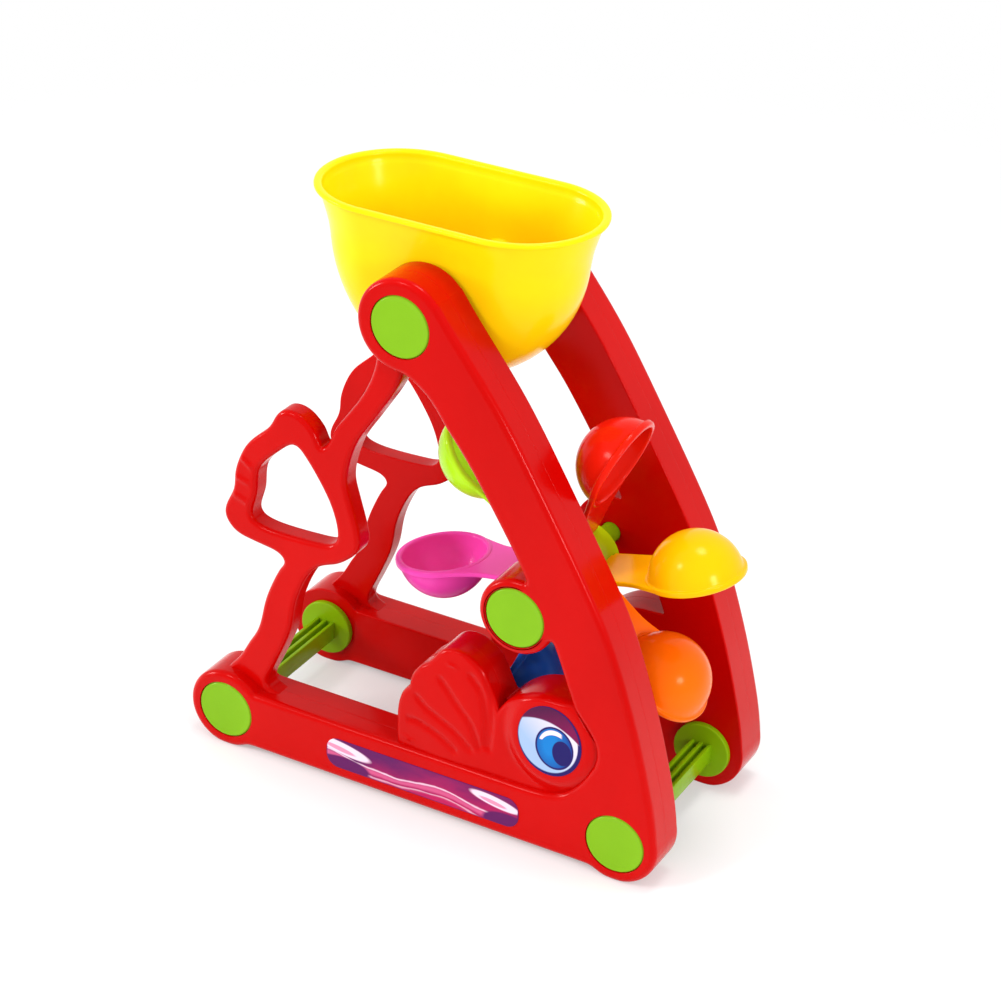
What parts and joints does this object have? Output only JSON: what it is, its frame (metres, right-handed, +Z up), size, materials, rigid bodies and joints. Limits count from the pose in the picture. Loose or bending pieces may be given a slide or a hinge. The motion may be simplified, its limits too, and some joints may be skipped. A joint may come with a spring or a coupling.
{
  "type": "sand wheel toy",
  "caption": "Sand wheel toy: side frames with tail loops carry a tipping hopper above a turning wheel of coloured scoops.",
  "frame": {"origin": "on the ground below the middle of the whole toy", "axes": "+X along the side frames towards the arms' lower ends, +Y across the toy towards the back frame, +Z up"},
  "size_m": [0.2144, 0.0954, 0.235],
  "materials": {
    "red_plastic": "gloss",
    "green_plastic": "gloss",
    "lime_plastic": "gloss",
    "hub_plastic": "gloss",
    "magenta_plastic": "gloss",
    "lime_scoop_plastic": "gloss",
    "red_scoop_plastic": "gloss",
    "yellow_plastic": "gloss",
    "orange_plastic": "gloss",
    "blue_plastic": "gloss",
    "eye_print": "gloss",
    "label_print": "gloss"
  },
  "bodies": {
    "frame": {"front_outer_half": "red_plastic", "front_inner_half": "red_plastic", "back_outer_half": "red_plastic", "back_inner_half": "red_plastic", "left_cross_bar": "green_plastic", "right_cross_bar": "green_plastic", "front_left_cap": "lime_plastic", "back_left_cap": "lime_plastic", "front_right_cap": "lime_plastic", "back_right_cap": "lime_plastic", "wheel_axle": "green_plastic", "front_axle_cap": "lime_plastic", "back_axle_cap": "lime_plastic", "front_hopper_pin": "lime_plastic", "back_hopper_pin": "lime_plastic", "front_eye_sticker": "eye_print", "back_eye_sticker": "eye_print", "front_label": "label_print", "back_label": "label_print"},
    "wheel": {"hub_front_half": "hub_plastic", "hub_back_half": "hub_plastic", "magenta_scoop": "magenta_plastic", "lime_scoop": "lime_scoop_plastic", "red_scoop": "red_scoop_plastic", "yellow_scoop": "yellow_plastic", "orange_scoop": "orange_plastic", "blue_scoop": "blue_plastic"},
    "hopper": {"hopper": "yellow_plastic"}
  },
  "joints": [
    {"name": "wheel_spin", "type": "hinge", "parent": "frame", "child": "wheel", "pos_m": [0.03655, 0, 0.0992], "axis": [0, 1, 0], "continuous": true},
    {"name": "hopper_tip", "type": "hinge", "parent": "frame", "child": "hopper", "pos_m": [-0.01385, 0, 0.2022], "axis": [0, 1, 0], "range_deg": [-30, 30]}
  ]
}
